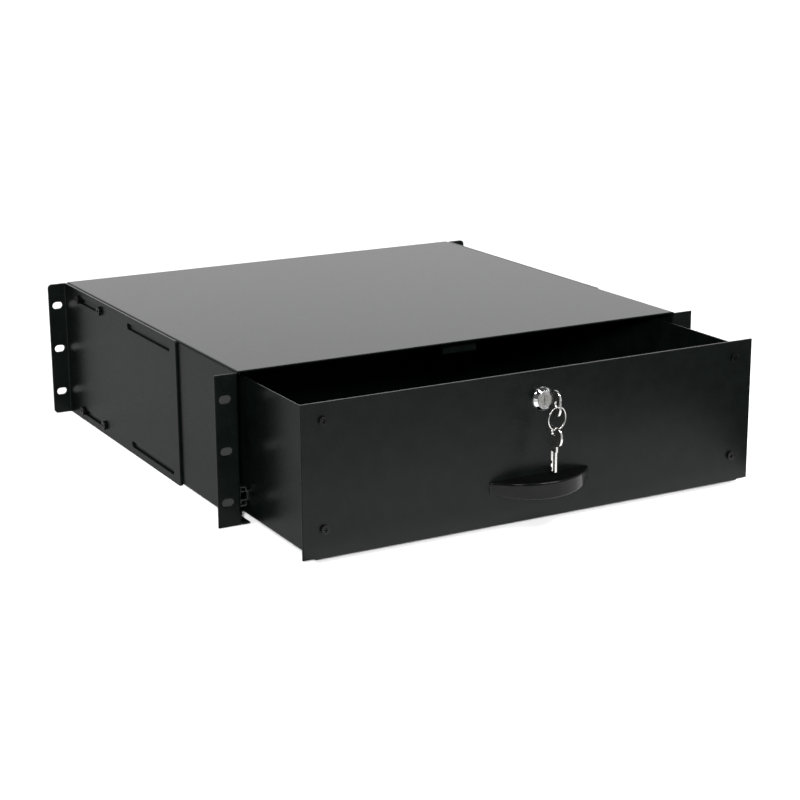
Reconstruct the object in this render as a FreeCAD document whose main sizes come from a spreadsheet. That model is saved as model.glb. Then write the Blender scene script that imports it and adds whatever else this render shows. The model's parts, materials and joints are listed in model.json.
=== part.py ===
"""Lockable 3U sliding rack drawer with adjustable rear rack brackets, in millimetres.

X runs to the right, Y to the back and Z up. The origin is the centre of the front ears' slot
pattern, on the plane where the ears bear on the rack. The drawer is drawn partly pulled out.
"""
import FreeCAD, Part
import math
import os
import re
import Sketcher

doc = FreeCAD.newDocument("SlidingRackDrawer")
sheet = doc.addObject("Spreadsheet::Sheet", "Sizes")

SIZES = {
    # rack standard
    "rack_width": 482.6,
    "slot_edge": 8.75,
    "slot_pitch": 44.45,
    "slot_length": 10.5,
    "slot_width": 7.0,
    # folded chassis
    "ear_height": 131.0,
    "top_rise": 1.4,
    "ear_reach": 19.6,
    "chassis_depth": 417.5,
    "shell_wall": 1.5,
    "shell_bend": 1.0,
    "bottom_flange": 8.5,
    "rear_wall": 1.2,
    "rear_return": 12.0,
    "rear_relief": 3.0,
    # depth-adjusting rear brackets
    "bracket_wall": 2.0,
    "bracket_length": 290.0,
    "bracket_ear_inset": 1.5,
    "bracket_top_step": 0.6,
    "bracket_drop": 1.2,
    "bracket_bend": 1.0,
    "bracket_corner": 4.0,
    "bracket_row_inset": 8.5,
    "bracket_screw_inset": 101.5,
    "bracket_screw_pitch": 61.0,
    "adjust_play": 3.0,
    "long_slot_inset": 13.5,
    "long_slot_length": 104.0,
    "adjust_slot_width": 5.8,
    "paint_gap": 0.1,
    # drawer front
    "drawer_open": 115.0,
    "drawer_reach": 160.0,
    "panel_wall": 2.0,
    "panel_side_gap": 0.6,
    "panel_top_gap": 0.3,
    "panel_floor_gap": 2.5,
    "panel_return": 15.0,
    "panel_notch": 11.0,
    "panel_stub_rise": 1.2,
    "panel_screw_edge": 19.2,
    "panel_screw_inset": 14.7,
    "panel_screw_rise": 24.5,
    # drawer tray
    "tray_wall": 1.2,
    "tray_bend": 0.8,
    "tray_back_room": 19.3,
    "tray_headroom": 6.1,
    "tray_front_flange": 20.0,
    "tray_flange_relief": 3.0,
    "tray_back_return": 12.0,
    # ball-bearing slides
    "slide_space": 9.0,
    "rail_height": 17.0,
    "rail_depth": 7.2,
    "rail_lip": 3.5,
    "rail_metal": 1.0,
    "rail_rise": 22.5,
    "rail_front": 4.0,
    "rail_back_room": 32.0,
    "inner_rail_setback": 120.0,
    "inner_lip_room": 1.1,
    "ball_size": 3.0,
    "ball_play": 0.1,
    "ball_end": 4.75,
    "cage_metal": 0.5,
    "cage_play": 0.25,
    "cage_grip": 0.7,
    "stop_play": 0.1,
    "stop_thickness": 0.9,
    "stop_height": 6.0,
    "stop_ear_length": 3.4,
    "stop_ear_rise": 0.8,
    "bumper_length": 8.4,
    "bumper_edge": 1.0,
    # fasteners
    "screw_shank": 2.0,
    "screw_hole": 2.25,
    "thread_gap": 0.05,
    "panel_head": 3.75,
    "panel_head_height": 2.2,
    "bracket_head": 4.4,
    "bracket_head_height": 2.6,
    "recess_width": 1.1,
    "recess_span": 4.2,
    "recess_depth": 1.2,
    "nut_flats": 7.0,
    "nut_height": 3.2,
    "rivet_shank": 1.5,
    "rivet_head": 2.4,
    "rivet_head_height": 0.9,
    "rivet_sunk_height": 0.5,
    # cam lock
    "lock_inset": 23.6,
    "bezel_radius": 10.3,
    "bezel_land": 4.6,
    "bezel_height": 7.7,
    "bezel_face": 7.75,
    "barrel_radius": 8.5,
    "barrel_depth": 18.0,
    "plug_head": 7.0,
    "plug_head_depth": 2.5,
    "plug_body": 5.5,
    "plug_proud": 0.4,
    "lock_play": 0.08,
    "keyway_side_play": 0.15,
    "keyway_end_play": 0.8,
    "keyway_room": 1.9,
    "lock_nut_flats": 21.0,
    "lock_nut_height": 4.0,
    "cam_top_gap": 2.4,
    "cam_half_width": 7.5,
    "cam_wall": 2.0,
    "cam_square": 7.0,
    "cam_screw_head": 4.2,
    "cam_screw_height": 2.2,
    "cam_screw_length": 6.0,
    "strike_gap": 0.7,
    "strike_wall": 1.5,
    "strike_width": 34.0,
    "strike_leg": 14.0,
    "strike_nut_gap": 0.4,
    # keys and ring
    "key_wall": 2.0,
    "key_length": 40.2,
    "key_bow_length": 17.0,
    "key_bow_width": 23.0,
    "key_bow_corner": 8.2,
    "key_neck_length": 4.8,
    "key_neck_width": 9.0,
    "key_blade_width": 6.6,
    "key_bite": 1.4,
    "key_groove_edge": 0.7,
    "key_groove_depth": 1.3,
    "key_groove_root": 3.0,
    "key_groove_end": 3.4,
    "key_hole": 2.8,
    "key_hole_setback": 4.9,
    "key_out": 30.2,
    "ring_radius": 9.6,
    "ring_wire": 0.6,
    "ring_turn": 10.8,
    "ring_seat": 0.15,
    "spare_offset": 2.6,
    "spare_seat": 0.5,
    # pull handle
    "handle_width": 98.4,
    "handle_depth": 24.8,
    "handle_rise": 39.0,
    "handle_end_height": 10.4,
    "handle_belly": 4.1,
    "handle_wall": 2.6,
    "handle_edge": 1.4,
    "handle_boss": 4.0,
    "handle_boss_length": 7.0,
    "handle_boss_drop": 6.0,
    "handle_screw_inset": 13.2,
}
for row, (alias, value) in enumerate(SIZES.items(), start=1):
    sheet.set(f"A{row}", alias)
    sheet.set(f"B{row}", str(value))
    sheet.setAlias(f"B{row}", alias)
doc.recompute()

WORDS = re.compile(r"[a-z][a-z_]+")
PARTS = {}

# Places that several pieces share, as formulas of the sheet's sizes.
HALF_WIDTH = "(rack_width / 2 - ear_reach)"
INNER_WALL = "(rack_width / 2 - ear_reach - shell_wall)"
SLOT_COLUMN = "(rack_width / 2 - slot_edge)"
CHASSIS_BOTTOM = "(-ear_height / 2)"
CHASSIS_TOP = "(ear_height / 2 + top_rise)"
TOP_UNDERSIDE = "(ear_height / 2 + top_rise - shell_wall)"
CHASSIS_BACK = "(chassis_depth - shell_wall)"
PANEL_FRONT = "(-shell_wall - drawer_open)"
PANEL_BACK = "(-shell_wall - drawer_open + panel_wall)"
PANEL_HALF = "(rack_width / 2 - ear_reach - shell_wall - panel_side_gap)"
PANEL_TOP = "(ear_height / 2 + top_rise - shell_wall - panel_top_gap)"
PANEL_BOTTOM = "(-ear_height / 2 + panel_floor_gap)"
TRAY_HALF = "(rack_width / 2 - ear_reach - shell_wall - slide_space)"
TRAY_BOTTOM = "(-ear_height / 2 + panel_floor_gap + panel_wall)"
TRAY_TOP = "(ear_height / 2 + top_rise - shell_wall - tray_headroom)"
TRAY_BACK = f"({CHASSIS_BACK} - rear_wall - tray_back_room - drawer_open)"
TRAY_INNER_FRONT = "(-shell_wall - drawer_open + panel_wall + tray_wall)"
BALL_REACH = "(rail_depth - rail_metal - ball_play - ball_size / 2)"
BALL_RISE = "(rail_height / 2 - rail_metal - ball_play - ball_size / 2)"
RAIL_LEVEL = "(-ear_height / 2 + rail_rise)"
RAIL_BACK = f"({CHASSIS_BACK} - rail_back_room)"
INNER_RAIL_FRONT = "(-shell_wall - drawer_open + panel_wall + inner_rail_setback)"
INNER_RAIL_BACK = f"({RAIL_BACK} - bumper_length - stop_play - drawer_open)"
CAGE_STOP = "(rail_front + stop_thickness + stop_play)"
CAGE_FRONT = f"({CAGE_STOP} + drawer_reach / 2)"
CAGE_LENGTH = f"({INNER_RAIL_BACK} - drawer_reach - stop_ear_length - stop_play - {CAGE_STOP})"
BRACKET_INSIDE = "(rack_width / 2 - ear_reach + paint_gap)"
BRACKET_OUTSIDE = "(rack_width / 2 - ear_reach + paint_gap + bracket_wall)"
BRACKET_BOTTOM = "(-ear_height / 2 - bracket_drop)"
BRACKET_TOP = "(ear_height / 2 + top_rise - bracket_top_step)"
BRACKET_EAR = f"({CHASSIS_BACK} - bracket_ear_inset)"
BRACKET_FRONT = f"({BRACKET_EAR} - bracket_length)"
LOCK_LEVEL = f"({PANEL_TOP} - lock_inset)"
CAM_FRONT = "(-shell_wall - drawer_open + barrel_depth + lock_play)"
CAM_REACH = "(lock_inset + panel_top_gap - cam_top_gap)"
RING_Y = "(-shell_wall - drawer_open - key_out + key_hole_setback)"
RING_TOP = f"({LOCK_LEVEL} - key_hole + ring_wire + ring_seat)"
RING_CENTRE = f"({RING_TOP} - ring_radius)"
HANDLE_TOP = f"({PANEL_BOTTOM} + handle_rise)"
HANDLE_END = f"({HANDLE_TOP} - handle_end_height)"
HANDLE_BOTTOM = f"({HANDLE_END} - handle_belly)"
BRACKET_SCREWS = [
    (f"({CHASSIS_BACK} - bracket_screw_inset + {step} * bracket_screw_pitch)",
     f"({side} * (ear_height / 2 - bracket_row_inset))")
    for step in (0, 1)
    for side in (1, -1)
]
PANEL_SCREWS = [
    (f"({side} * ({PANEL_HALF} - panel_screw_edge))", height)
    for side in (-1, 1)
    for height in (f"({PANEL_TOP} - panel_screw_inset)", f"({PANEL_BOTTOM} + panel_screw_rise)")
]
HANDLE_SCREWS = [
    (f"({side} * (handle_width / 2 - handle_screw_inset))", f"({HANDLE_TOP} - handle_boss_drop)")
    for side in (-1, 1)
]
RAIL_RIVETS = [
    (f"(rail_front + ({RAIL_BACK} - rail_front) * {share})", RAIL_LEVEL)
    for share in (0.06, 0.35, 0.65, 0.94)
]
INNER_RIVETS = [
    (f"({INNER_RAIL_FRONT} + ({INNER_RAIL_BACK} - {INNER_RAIL_FRONT}) * {share})", RAIL_LEVEL)
    for share in (0.08, 0.5, 0.92)
]
SIDES = {"left": -1, "right": 1}


def formula(text):
    """The text with each size written as a reference to the sheet."""
    return WORDS.sub(lambda word: "Sizes." + word[0] if word[0] in SIZES else word[0], text)


def number(text):
    """The present value of a formula."""
    return float(sheet.evalExpression(formula(text)))


class Piece:
    """One sub-part, built as a PartDesign body whose sizes follow the sheet."""

    # For each sketch plane: the axis that it is extruded along, and that axis in the sketch.
    PLANES = {"XY": 1, "XZ": -1, "YZ": 1}

    def __init__(self, name):
        self.name = name
        self.body = doc.addObject("PartDesign::Body", name)
        self.body.Label = name
        self.body.AllowCompound = True
        self.count = 0
        PARTS[name] = self.body

    def label(self, word):
        self.count += 1
        return f"{self.name}_{word}_{self.count}"

    def sketch(self, plane, start, origin=("0", "0")):
        """An empty sketch on an origin plane, moved along the plane's axis to start."""
        drawing = self.body.newObject("Sketcher::SketchObject", self.label("sketch"))
        for feature in self.body.Origin.OriginFeatures:
            if feature.Role == plane + "_Plane":
                drawing.AttachmentSupport = [(feature, "")]
        drawing.MapMode = "FlatFace"
        drawing.setExpression("AttachmentOffset.Base.x", formula(origin[0]))
        drawing.setExpression("AttachmentOffset.Base.y", formula(origin[1]))
        drawing.setExpression("AttachmentOffset.Base.z", f"{self.PLANES[plane]} * ({formula(start)})")
        return drawing

    def finish(self, feature, grows):
        """Recompute, and stop if the feature changed nothing."""
        before = self.volume
        doc.recompute()
        change = self.body.Shape.Volume - before
        if (change if grows else -change) < 1e-6:
            raise ValueError(f"{feature.Name} changes nothing")
        return feature

    @property
    def volume(self):
        return 0.0 if self.body.Shape.isNull() else self.body.Shape.Volume

    def pad(self, plane, start, length, draw):
        """Add what draw puts in the sketch, from start along the plane's axis."""
        drawing = self.sketch(plane, start)
        draw(drawing)
        feature = self.body.newObject("PartDesign::Pad", self.label("pad"))
        feature.Profile = drawing
        feature.Reversed = plane == "XZ"
        feature.setExpression("Length", formula(length))
        return self.finish(feature, True)

    def cut(self, plane, start, length, draw):
        """Remove what draw puts in the sketch, from start along the plane's axis."""
        drawing = self.sketch(plane, start)
        draw(drawing)
        feature = self.body.newObject("PartDesign::Pocket", self.label("cut"))
        feature.Profile = drawing
        feature.Reversed = plane != "XZ"
        feature.setExpression("Length", formula(length))
        return self.finish(feature, False)

    def turn(self, centre, axis, points):
        """Add a body of revolution about an X or Y line through centre."""
        drawing = self.sketch("XY", centre[2], centre[:2])
        outline(drawing, points)
        feature = self.body.newObject("PartDesign::Revolution", self.label("turned"))
        feature.Profile = drawing
        feature.ReferenceAxis = (drawing, ["V_Axis" if axis == "Y" else "H_Axis"])
        feature.Angle = 360
        return self.finish(feature, True)

    def round(self, radius, wanted):
        """Round the edges for which wanted is true."""
        base = self.body.Tip
        names = [f"Edge{index}" for index, edge in enumerate(base.Shape.Edges, start=1) if wanted(edge)]
        if not names:
            raise ValueError(f"{self.name} has no such edge to round")
        feature = self.body.newObject("PartDesign::Fillet", self.label("round"))
        feature.Base = (base, names)
        feature.setExpression("Radius", formula(radius))
        doc.recompute()
        return feature


def along(axis, places):
    """A test for straight edges along an axis through one of the places."""
    spots = [(number(first), number(second)) for first, second in places]
    picks = {"X": ("Y", "Z"), "Y": ("X", "Z"), "Z": ("X", "Y")}[axis]

    def near(vertex, spot):
        return all(abs(getattr(vertex, pick) - value) < 0.01 for pick, value in zip(picks, spot))

    def wanted(edge):
        if edge.Curve.TypeId != "Part::GeomLine":
            return False
        return any(all(near(vertex, spot) for vertex in edge.Vertexes) for spot in spots)
    return wanted


def arc_at(height, radius):
    """A test for arcs of a given radius in a level plane."""
    level = number(height)
    size = number(radius)

    def wanted(edge):
        if edge.Curve.TypeId != "Part::GeomCircle" or abs(edge.Curve.Radius - size) > 0.01:
            return False
        return all(abs(vertex.Z - level) < 0.01 for vertex in edge.Vertexes)
    return wanted


def fix(drawing, kind, curve, spot, text):
    """Hold one coordinate of a point of the sketch at a formula."""
    index = drawing.addConstraint(Sketcher.Constraint(kind, -1, 1, curve, spot, number(text)))
    drawing.setExpression(f"Constraints[{index}]", formula(text))


def outline(drawing, points):
    """A closed straight-sided outline through points given as formulas."""
    spots = [FreeCAD.Vector(number(first), number(second), 0) for first, second in points]
    count = len(points)
    start = drawing.GeometryCount
    for index in range(count):
        drawing.addGeometry(Part.LineSegment(spots[index], spots[(index + 1) % count]), False)
    for index in range(count):
        following = start + (index + 1) % count
        drawing.addConstraint(Sketcher.Constraint("Coincident", start + index, 2, following, 1))
    for index, (first, second) in enumerate(points):
        fix(drawing, "DistanceX", start + index, 1, first)
        fix(drawing, "DistanceY", start + index, 1, second)


def box(drawing, low, high):
    """A rectangle between two corners given as formulas."""
    outline(drawing, [low, (high[0], low[1]), high, (low[0], high[1])])


def circle(drawing, centre, radius):
    """A circle whose centre and radius are formulas."""
    place = FreeCAD.Vector(number(centre[0]), number(centre[1]), 0)
    shape = Part.Circle(place, FreeCAD.Vector(0, 0, 1), number(radius))
    curve = drawing.addGeometry(shape, False)
    fix(drawing, "DistanceX", curve, 3, centre[0])
    fix(drawing, "DistanceY", curve, 3, centre[1])
    index = drawing.addConstraint(Sketcher.Constraint("Radius", curve, number(radius)))
    drawing.setExpression(f"Constraints[{index}]", formula(radius))


def circles(centres, radius):
    """A drawing of equal circles."""
    def draw(drawing):
        for centre in centres:
            circle(drawing, centre, radius)
    return draw


def slot(drawing, start, end, radius):
    """A hole with round ends between two centres at one height."""
    left = FreeCAD.Vector(number(start[0]), number(start[1]), 0)
    right = FreeCAD.Vector(number(end[0]), number(end[1]), 0)
    size = number(radius)
    rise = FreeCAD.Vector(0, size, 0)
    up = FreeCAD.Vector(0, 0, 1)
    quarter = math.pi / 2
    first = Part.ArcOfCircle(Part.Circle(left, up, size), quarter, 3 * quarter)
    last = Part.ArcOfCircle(Part.Circle(right, up, size), -quarter, quarter)
    one = drawing.addGeometry(first, False)
    two = drawing.addGeometry(Part.LineSegment(left - rise, right - rise), False)
    three = drawing.addGeometry(last, False)
    four = drawing.addGeometry(Part.LineSegment(right + rise, left + rise), False)
    for curve, spot, other, there in ((one, 2, two, 1), (two, 2, three, 1), (three, 2, four, 1),
                                      (four, 2, one, 1)):
        drawing.addConstraint(Sketcher.Constraint("Tangent", curve, spot, other, there))
    for curve, centre in ((one, start), (three, end)):
        fix(drawing, "DistanceX", curve, 3, centre[0])
        fix(drawing, "DistanceY", curve, 3, centre[1])
    index = drawing.addConstraint(Sketcher.Constraint("Radius", one, size))
    drawing.setExpression(f"Constraints[{index}]", formula(radius))


def hexagon(drawing, centre, flats):
    """A hexagon with a corner to the right, sized across its flats."""
    points = []
    for step in range(6):
        across = math.cos(math.radians(60 * step)) / math.sqrt(3)
        along = math.sin(math.radians(60 * step)) / math.sqrt(3)
        points.append((f"{centre[0]} + {across:.9f} * {flats}", f"{centre[1]} + {along:.9f} * {flats}"))
    outline(drawing, points)


def span(side, near, far):
    """Where a stretch between two distances from the middle starts along X, on one side."""
    return f"(-({far}))" if side < 0 else f"({near})"


def cross_recess(piece, plane, start, depth, centres):
    """A cross recess in each screw head."""
    half_span = "recess_span / 2"
    half_width = "recess_width / 2"
    for reach, rise in ((half_span, half_width), (half_width, half_span)):
        def draw(drawing, reach=reach, rise=rise):
            for first, second in centres:
                box(drawing, (f"{first} - {reach}", f"{second} - {rise}"),
                    (f"{first} + {reach}", f"{second} + {rise}"))
        piece.cut(plane, start, depth, draw)


def chassis_shell():
    """Top, sides, front ears and bottom flanges, folded from one sheet."""
    piece = Piece("chassis_shell")
    half, wall = HALF_WIDTH, "shell_wall"

    def fold(drawing):
        outline(drawing, [
            (f"-{half} + bottom_flange", CHASSIS_BOTTOM),
            (f"-{half}", CHASSIS_BOTTOM),
            (f"-{half}", CHASSIS_TOP),
            (half, CHASSIS_TOP),
            (half, CHASSIS_BOTTOM),
            (f"{half} - bottom_flange", CHASSIS_BOTTOM),
            (f"{half} - bottom_flange", f"{CHASSIS_BOTTOM} + {wall}"),
            (INNER_WALL, f"{CHASSIS_BOTTOM} + {wall}"),
            (INNER_WALL, TOP_UNDERSIDE),
            (f"-{INNER_WALL}", TOP_UNDERSIDE),
            (f"-{INNER_WALL}", f"{CHASSIS_BOTTOM} + {wall}"),
            (f"-{half} + bottom_flange", f"{CHASSIS_BOTTOM} + {wall}"),
        ])

    def ears(drawing):
        for side in (-1, 1):
            box(drawing, (f"{side} * ({half} - {wall} / 2)", CHASSIS_BOTTOM),
                (f"{side} * rack_width / 2", f"{CHASSIS_BOTTOM} + ear_height"))

    piece.pad("XZ", "-shell_wall", "chassis_depth", fold)
    outer = [(f"{side} * {half}", level) for side in (-1, 1) for level in (CHASSIS_TOP, CHASSIS_BOTTOM)]
    inner = [(f"{side} * {INNER_WALL}", level) for side in (-1, 1)
             for level in (TOP_UNDERSIDE, f"{CHASSIS_BOTTOM} + {wall}")]
    piece.round("shell_bend + shell_wall", along("Y", outer))
    piece.round("shell_bend", along("Y", inner))
    piece.pad("XZ", "-shell_wall", "shell_wall", ears)
    piece.cut("XZ", "-shell_wall", "shell_wall", ear_slots)
    piece.cut("XY", f"{CHASSIS_BOTTOM} + {wall} + shell_bend",
              f"{TOP_UNDERSIDE} - {CHASSIS_BOTTOM} - {wall} - 2 * shell_bend", ear_bends)
    piece.cut("YZ", f"-{half}", f"2 * {HALF_WIDTH}", circles(BRACKET_SCREWS, "screw_hole"))
    piece.cut("YZ", f"-{half}", f"2 * {HALF_WIDTH}", circles(RAIL_RIVETS, "rivet_shank + thread_gap"))


def ear_bends(drawing):
    """What lies outside the round of each ear's bend, at the front corner of the side wall."""
    radius = "(shell_bend + shell_wall)"
    for side in (-1, 1):
        corner = (f"{side} * {INNER_WALL}", "-shell_wall")
        middle = (f"{side} * ({INNER_WALL} + {radius})", f"-shell_wall + {radius}")
        near, size = FreeCAD.Vector(number(corner[0]), number(corner[1]), 0), number(radius)
        centre = FreeCAD.Vector(number(middle[0]), number(middle[1]), 0)
        front, inside = centre - FreeCAD.Vector(0, size, 0), centre - FreeCAD.Vector(side * size, 0, 0)
        ends = (math.pi, 3 * math.pi / 2) if side > 0 else (3 * math.pi / 2, 2 * math.pi)
        round_off = Part.Circle(centre, FreeCAD.Vector(0, 0, 1), size)
        bend = drawing.addGeometry(Part.ArcOfCircle(round_off, *ends))
        across = drawing.addGeometry(Part.LineSegment(near, front))
        back = drawing.addGeometry(Part.LineSegment(inside, near))
        first, last = (2, 1) if side > 0 else (1, 2)
        drawing.addConstraint(Sketcher.Constraint("Coincident", across, 2, bend, first))
        drawing.addConstraint(Sketcher.Constraint("Coincident", back, 1, bend, last))
        drawing.addConstraint(Sketcher.Constraint("Coincident", back, 2, across, 1))
        for curve, spot, place in ((bend, 3, middle), (across, 1, corner)):
            fix(drawing, "DistanceX", curve, spot, place[0])
            fix(drawing, "DistanceY", curve, spot, place[1])
        fix(drawing, "DistanceX", across, 2, middle[0])
        fix(drawing, "DistanceY", back, 1, middle[1])
        index = drawing.addConstraint(Sketcher.Constraint("Radius", bend, size))
        drawing.setExpression(f"Constraints[{index}]", formula(radius))


def ear_slots(drawing):
    """Three slots in each ear, on the rack's hole columns."""
    for side in (-1, 1):
        for level in (-1, 0, 1):
            middle = f"{side} * {SLOT_COLUMN}"
            reach = "(slot_length - slot_width) / 2"
            slot(drawing, (f"{middle} - {reach}", f"{level} * slot_pitch"),
                 (f"{middle} + {reach}", f"{level} * slot_pitch"), "slot_width / 2")


def rear_panel():
    """Back wall of the chassis, with side returns welded inside the side walls."""
    piece = Piece("rear_panel")

    def fold(drawing):
        outline(drawing, [
            (f"-{INNER_WALL}", CHASSIS_BACK),
            (f"-{INNER_WALL}", f"{CHASSIS_BACK} - rear_return"),
            (f"-{INNER_WALL} + rear_wall", f"{CHASSIS_BACK} - rear_return"),
            (f"-{INNER_WALL} + rear_wall", f"{CHASSIS_BACK} - rear_wall"),
            (f"{INNER_WALL} - rear_wall", f"{CHASSIS_BACK} - rear_wall"),
            (f"{INNER_WALL} - rear_wall", f"{CHASSIS_BACK} - rear_return"),
            (INNER_WALL, f"{CHASSIS_BACK} - rear_return"),
            (INNER_WALL, CHASSIS_BACK),
        ])
    height = f"{TOP_UNDERSIDE} - {CHASSIS_BOTTOM} - shell_wall - 2 * rear_relief"
    piece.pad("XY", f"{CHASSIS_BOTTOM} + shell_wall + rear_relief", height, fold)
    corners = [(f"{side} * {INNER_WALL}", CHASSIS_BACK) for side in (-1, 1)]
    piece.round("shell_bend + rear_wall", along("Z", corners))


def lock_strike():
    """Angle welded under the top, which the cam hooks behind."""
    piece = Piece("lock_strike")
    back = "(-shell_wall + barrel_depth + lock_play - strike_gap)"
    tip = f"{LOCK_LEVEL} + lock_nut_flats / 2 + strike_nut_gap"

    def angle(drawing):
        outline(drawing, [
            (f"{back} - strike_wall", TOP_UNDERSIDE),
            (f"{back} - strike_wall", tip),
            (back, tip),
            (back, f"{TOP_UNDERSIDE} - strike_wall"),
            (f"{back} - strike_wall + strike_leg", f"{TOP_UNDERSIDE} - strike_wall"),
            (f"{back} - strike_wall + strike_leg", TOP_UNDERSIDE),
        ])
    piece.pad("YZ", "-strike_width / 2", "strike_width", angle)
    piece.round("strike_wall / 2", along("X", [(back, f"{TOP_UNDERSIDE} - strike_wall")]))


def rear_bracket(word, side):
    """Side plate with rack ears folded out at its back, slotted to set its depth."""
    piece = Piece(f"{word}_rear_bracket")

    def fold(drawing):
        outline(drawing, [
            (f"{side} * {BRACKET_INSIDE}", BRACKET_FRONT),
            (f"{side} * {BRACKET_INSIDE}", f"{BRACKET_EAR} + bracket_wall"),
            (f"{side} * rack_width / 2", f"{BRACKET_EAR} + bracket_wall"),
            (f"{side} * rack_width / 2", BRACKET_EAR),
            (f"{side} * {BRACKET_OUTSIDE}", BRACKET_EAR),
            (f"{side} * {BRACKET_OUTSIDE}", BRACKET_FRONT),
        ])

    def rack_slots(drawing):
        for level in (-1, 0, 1):
            middle = f"{side} * {SLOT_COLUMN}"
            reach = "(slot_length - slot_width) / 2"
            slot(drawing, (f"{middle} - {reach}", f"{level} * slot_pitch"),
                 (f"{middle} + {reach}", f"{level} * slot_pitch"), "slot_width / 2")

    def adjust_slots(drawing):
        round_end = "adjust_slot_width / 2"
        first_screw = f"{CHASSIS_BACK} - bracket_screw_inset"
        for row in (-1, 1):
            level = f"{row} * (ear_height / 2 - bracket_row_inset)"
            slot(drawing, (f"{first_screw} - adjust_play", level),
                 (f"{first_screw} + bracket_screw_pitch + adjust_play", level), round_end)
            slot(drawing, (f"{BRACKET_FRONT} + long_slot_inset + {round_end}", level),
                 (f"{BRACKET_FRONT} + long_slot_inset + long_slot_length - {round_end}", level), round_end)

    piece.pad("XY", BRACKET_BOTTOM, f"{BRACKET_TOP} - {BRACKET_BOTTOM}", fold)
    piece.round("bracket_bend + bracket_wall",
                along("Z", [(f"{side} * {BRACKET_INSIDE}", f"{BRACKET_EAR} + bracket_wall")]))
    piece.round("bracket_bend", along("Z", [(f"{side} * {BRACKET_OUTSIDE}", BRACKET_EAR)]))
    corners = [(f"{side} * rack_width / 2", level) for level in (BRACKET_BOTTOM, BRACKET_TOP)]
    piece.round("bracket_corner", along("Y", corners))
    ends = [(BRACKET_FRONT, level) for level in (BRACKET_BOTTOM, BRACKET_TOP)]
    piece.round("bracket_corner / 2", along("X", ends))
    piece.cut("XZ", BRACKET_EAR, "bracket_wall", rack_slots)
    piece.cut("YZ", span(side, BRACKET_INSIDE, BRACKET_OUTSIDE), "bracket_wall", adjust_slots)


def bracket_fasteners(word, side):
    """Pan-head screws through the bracket's slots, and their nuts inside the chassis."""
    screws = Piece(f"{word}_bracket_screws")
    seat = f"({BRACKET_OUTSIDE} + paint_gap)"
    crown = f"({seat} + bracket_head_height)"
    tip = f"({INNER_WALL} - nut_height - shell_wall / 2)"
    screws.pad("YZ", span(side, seat, crown), "bracket_head_height", circles(BRACKET_SCREWS, "bracket_head"))
    screws.pad("YZ", span(side, tip, seat), f"{seat} - {tip}", circles(BRACKET_SCREWS, "screw_shank"))
    recess = f"({crown} - recess_depth)"
    cross_recess(screws, "YZ", span(side, recess, crown), "recess_depth", BRACKET_SCREWS)

    nuts = Piece(f"{word}_bracket_nuts")

    def draw(drawing):
        for centre in BRACKET_SCREWS:
            hexagon(drawing, centre, "nut_flats")
            circle(drawing, centre, "screw_shank + thread_gap")
    nuts.pad("YZ", span(side, f"{INNER_WALL} - nut_height", INNER_WALL), "nut_height", draw)


def rail_x(side, reach):
    """X of a point of a slide, given its distance in from the chassis wall."""
    return f"{side} * ({INNER_WALL} - ({reach}))"


def outer_rail(word, side):
    """Fixed slide member: a channel with lips that hold the balls."""
    piece = Piece(f"{word}_outer_rail")
    lip = "rail_height / 2 - rail_lip"
    inside = "rail_height / 2 - rail_metal"
    half = [("0", "rail_height / 2"), ("rail_depth", "rail_height / 2"), ("rail_depth", lip),
            ("rail_depth - rail_metal", lip), ("rail_depth - rail_metal", inside), ("rail_metal", inside)]

    def channel(drawing):
        upper = [(rail_x(side, reach), f"{RAIL_LEVEL} + {rise}") for reach, rise in half]
        lower = [(rail_x(side, reach), f"{RAIL_LEVEL} - ({rise})") for reach, rise in half]
        outline(drawing, upper + lower[::-1])

    piece.pad("XZ", "rail_front", f"{RAIL_BACK} - rail_front", channel)
    corners = [(rail_x(side, "rail_depth"), f"{RAIL_LEVEL} + {sign} * rail_height / 2") for sign in (-1, 1)]
    piece.round("rail_metal * 1.5", along("Y", corners))
    start = span(side, f"{INNER_WALL} - rail_metal", INNER_WALL)
    piece.cut("YZ", start, "rail_metal", circles(RAIL_RIVETS, "rivet_shank + thread_gap"))
    sunk = span(side, f"{INNER_WALL} - rail_metal", f"{INNER_WALL} - rail_metal + rivet_sunk_height")
    piece.cut("YZ", sunk, "rivet_sunk_height", circles(RAIL_RIVETS, "rivet_head + thread_gap"))

    def cage_stop(drawing):
        box(drawing, (rail_x(side, "rail_metal / 2"), f"{RAIL_LEVEL} - stop_height / 2"),
            (rail_x(side, "rail_metal + stop_thickness"), f"{RAIL_LEVEL} + stop_height / 2"))
    piece.pad("XZ", "rail_front", "stop_thickness", cage_stop)


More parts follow.
